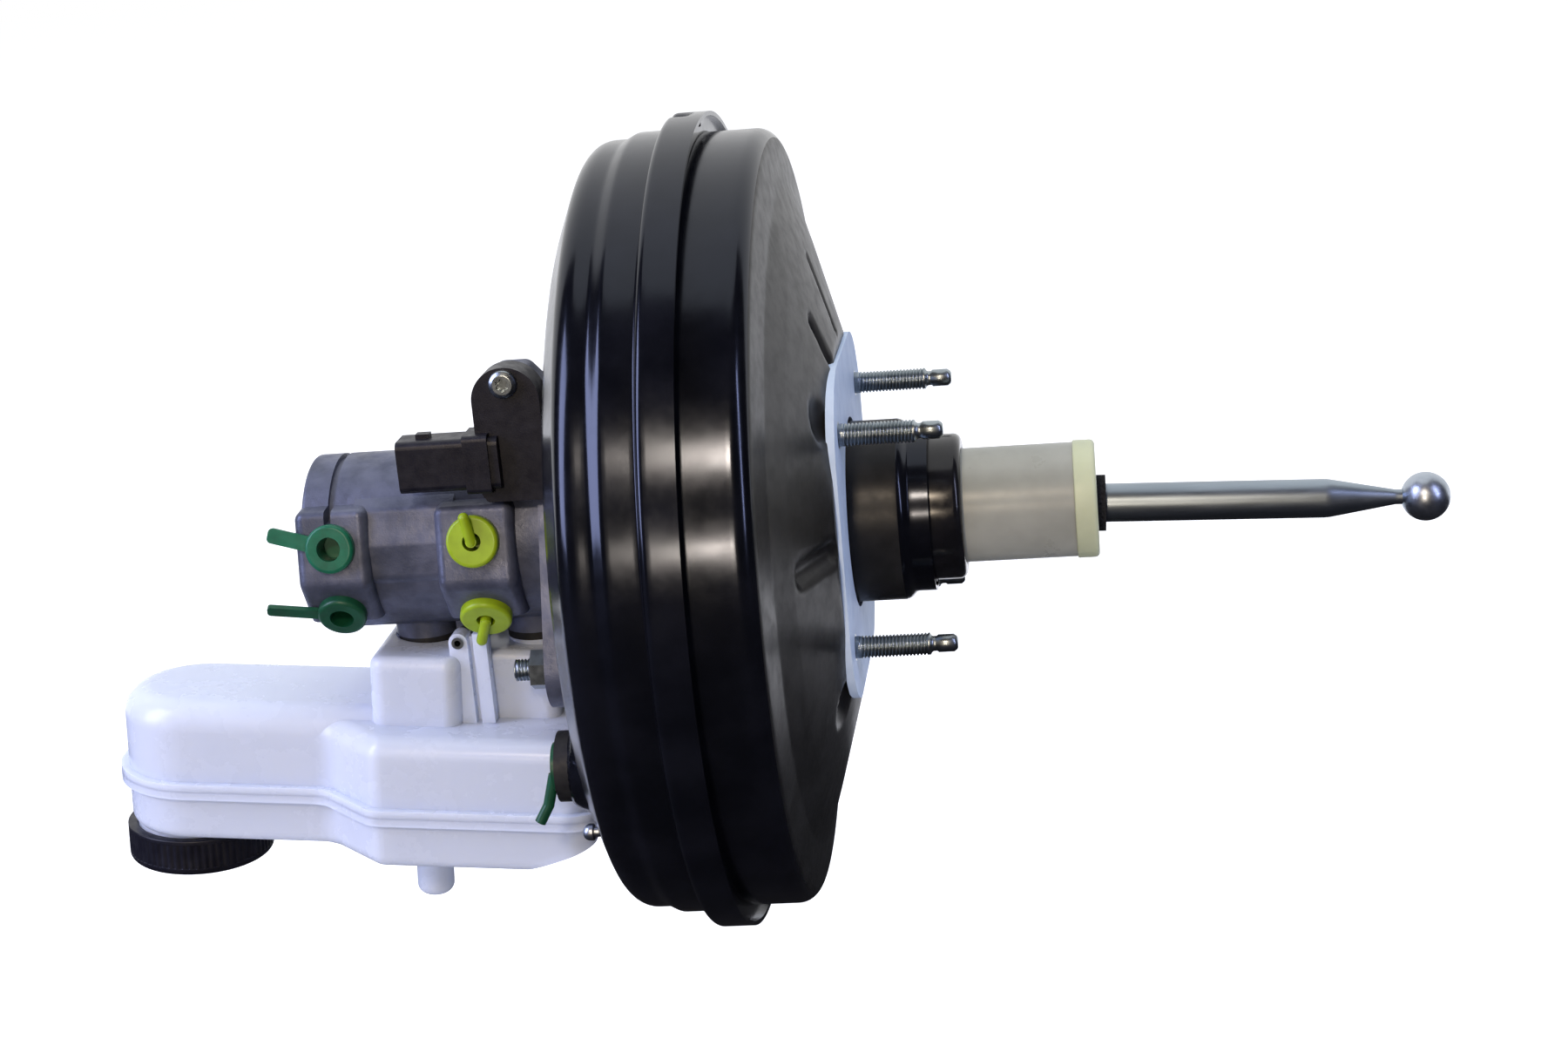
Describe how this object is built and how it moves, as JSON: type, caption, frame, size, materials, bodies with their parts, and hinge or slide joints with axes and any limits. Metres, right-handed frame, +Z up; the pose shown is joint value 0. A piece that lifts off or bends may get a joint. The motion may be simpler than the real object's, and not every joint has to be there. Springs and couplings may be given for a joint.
{
  "type": "brake booster with master cylinder",
  "caption": "Vacuum brake booster with a tandem master cylinder, fluid reservoir and pedal rod; bolts to a firewall and turns pedal force into brake pressure.",
  "frame": {"origin": "centre of the firewall stud pattern, on the outer face of the mounting gasket", "axes": "+X along the booster's axis towards the pedal ball, +Y away from the side that carries the brake ports, +Z up as pictured; in the vehicle the unit is turned half a turn about X, so that the reservoir is above the cylinder"},
  "size_m": [0.506, 0.297, 0.297],
  "materials": {
    "shell_black": "gloss",
    "zinc_steel": "satin",
    "spring_steel": "satin",
    "bright_ball": "polished",
    "cast_aluminium": "as cast",
    "turned_aluminium": "satin",
    "gasket_pale": "matt",
    "hub_moulding": "satin",
    "vent_cream": "satin",
    "black_plastic": "satin",
    "reservoir_natural": "translucent satin",
    "strainer_natural": "satin",
    "black_rubber": "matt",
    "filter_foam": "open cell",
    "green_plastic": "satin",
    "yellow_plastic": "satin",
    "magnet_dark": "matt",
    "contact_tin": "bright"
  },
  "bodies": {
    "housing": {"front_shell": "shell_black", "rear_shell": "shell_black", "rear_plate": "zinc_steel", "front_plate": "zinc_steel", "mounting_gasket": "gasket_pale", "firewall_studs": "zinc_steel", "flange_studs": "zinc_steel", "flange_nuts": "zinc_steel", "neck_bushing": "black_plastic", "neck_collar": "black_plastic", "master_cylinder": "cast_aluminium", "flange_seal": "black_rubber", "piston_seals": "black_rubber", "piston_guide": "black_plastic", "position_sensor": "black_plastic", "sensor_pins": "contact_tin", "sensor_screw": "zinc_steel", "reservoir_upper": "reservoir_natural", "reservoir_lower": "reservoir_natural", "strainer": "strainer_natural", "retaining_pin": "zinc_steel", "inlet_grommets": "black_rubber", "vacuum_grommet": "black_rubber", "shell_rivet": "bright_ball", "return_spring": "spring_steel", "secondary_spring": "spring_steel"},
    "power_piston": {"diaphragm": "black_rubber", "diaphragm_plate": "zinc_steel", "valve_body": "hub_moulding", "stop_key": "zinc_steel", "vent_cap": "vent_cream", "air_filter": "filter_foam", "reaction_disc": "black_rubber", "output_rod": "zinc_steel", "poppet": "black_rubber", "valve_retainer": "zinc_steel", "poppet_spring": "spring_steel", "rod_spring": "spring_steel"},
    "valve_plunger": {"plunger": "turned_aluminium"},
    "pedal_rod": {"input_rod": "zinc_steel", "spring_cup": "zinc_steel", "rod_silencer": "filter_foam"},
    "first_piston": {"primary_piston": "turned_aluminium", "sensor_magnet": "magnet_dark"},
    "second_piston": {"secondary_piston": "turned_aluminium", "primary_spring": "spring_steel"},
    "cap_gasket": {"cap_seal": "black_rubber"},
    "cap": {"filler_cap": "black_plastic"},
    "plug_green_upper": {"green_plug_upper": "green_plastic"},
    "plug_green_lower": {"green_plug_lower": "green_plastic"},
    "plug_yellow_upper": {"yellow_plug_upper": "yellow_plastic"},
    "plug_yellow_lower": {"yellow_plug_lower": "yellow_plastic"},
    "plug_vacuum": {"vacuum_plug": "green_plastic"}
  },
  "joints": [
    {"name": "power_piston_slide", "type": "slide", "parent": "housing", "child": "power_piston", "axis": [-1, 0, 0], "range_m": [0, 0.032], "stiffness_N_per_m": 1500, "springref_m": -0.02, "deforming": ["diaphragm", "return_spring"]},
    {"name": "plunger_slide", "type": "slide", "parent": "power_piston", "child": "valve_plunger", "axis": [-1, 0, 0], "range_m": [0, 0.0015], "stiffness_N_per_m": 2000, "springref_m": -0.002, "deforming": ["rod_spring"]},
    {"name": "rod_tilt", "type": "hinge", "parent": "valve_plunger", "child": "pedal_rod", "pos_m": [0.035, 0, 0], "axis": [0, 1, 0], "range_deg": [-4, 0]},
    {"name": "first_piston_slide", "type": "slide", "parent": "housing", "child": "first_piston", "axis": [-1, 0, 0], "range_m": [0, 0.032]},
    {"name": "second_piston_slide", "type": "slide", "parent": "housing", "child": "second_piston", "axis": [-1, 0, 0], "range_m": [0, 0.016], "deforming": ["primary_spring", "secondary_spring"]},
    {"name": "cap_lift", "type": "slide", "parent": "housing", "child": "cap_gasket", "axis": [-0.0785, 0, -0.9969], "range_m": [0, 0.004]},
    {"name": "cap_turn", "type": "hinge", "parent": "cap_gasket", "child": "cap", "pos_m": [-0.26472, 0, -0.11333], "axis": [-0.0785, 0, -0.9969], "range_deg": [0, 450]},
    {"name": "green_upper_pull", "type": "slide", "parent": "housing", "child": "plug_green_upper", "axis": [0, -0.9816, 0.1908], "range_m": [0, 0.02]},
    {"name": "green_lower_pull", "type": "slide", "parent": "housing", "child": "plug_green_lower", "axis": [0, -0.8572, -0.515], "range_m": [0, 0.02]},
    {"name": "yellow_upper_pull", "type": "slide", "parent": "housing", "child": "plug_yellow_upper", "axis": [0, -0.9816, 0.1908], "range_m": [0, 0.02]},
    {"name": "yellow_lower_pull", "type": "slide", "parent": "housing", "child": "plug_yellow_lower", "axis": [0, -0.7986, -0.6018], "range_m": [0, 0.02]},
    {"name": "vacuum_plug_pull", "type": "slide", "parent": "housing", "child": "plug_vacuum", "axis": [-1, 0, 0], "range_m": [0, 0.012]}
  ],
  "couplings": [
    {"joint": "first_piston_slide", "follows": "power_piston_slide", "ratio": 1},
    {"joint": "second_piston_slide", "follows": "power_piston_slide", "ratio": 0.5},
    {"joint": "cap_turn", "follows": "cap_lift", "rad_per_m": 1963.5}
  ]
}
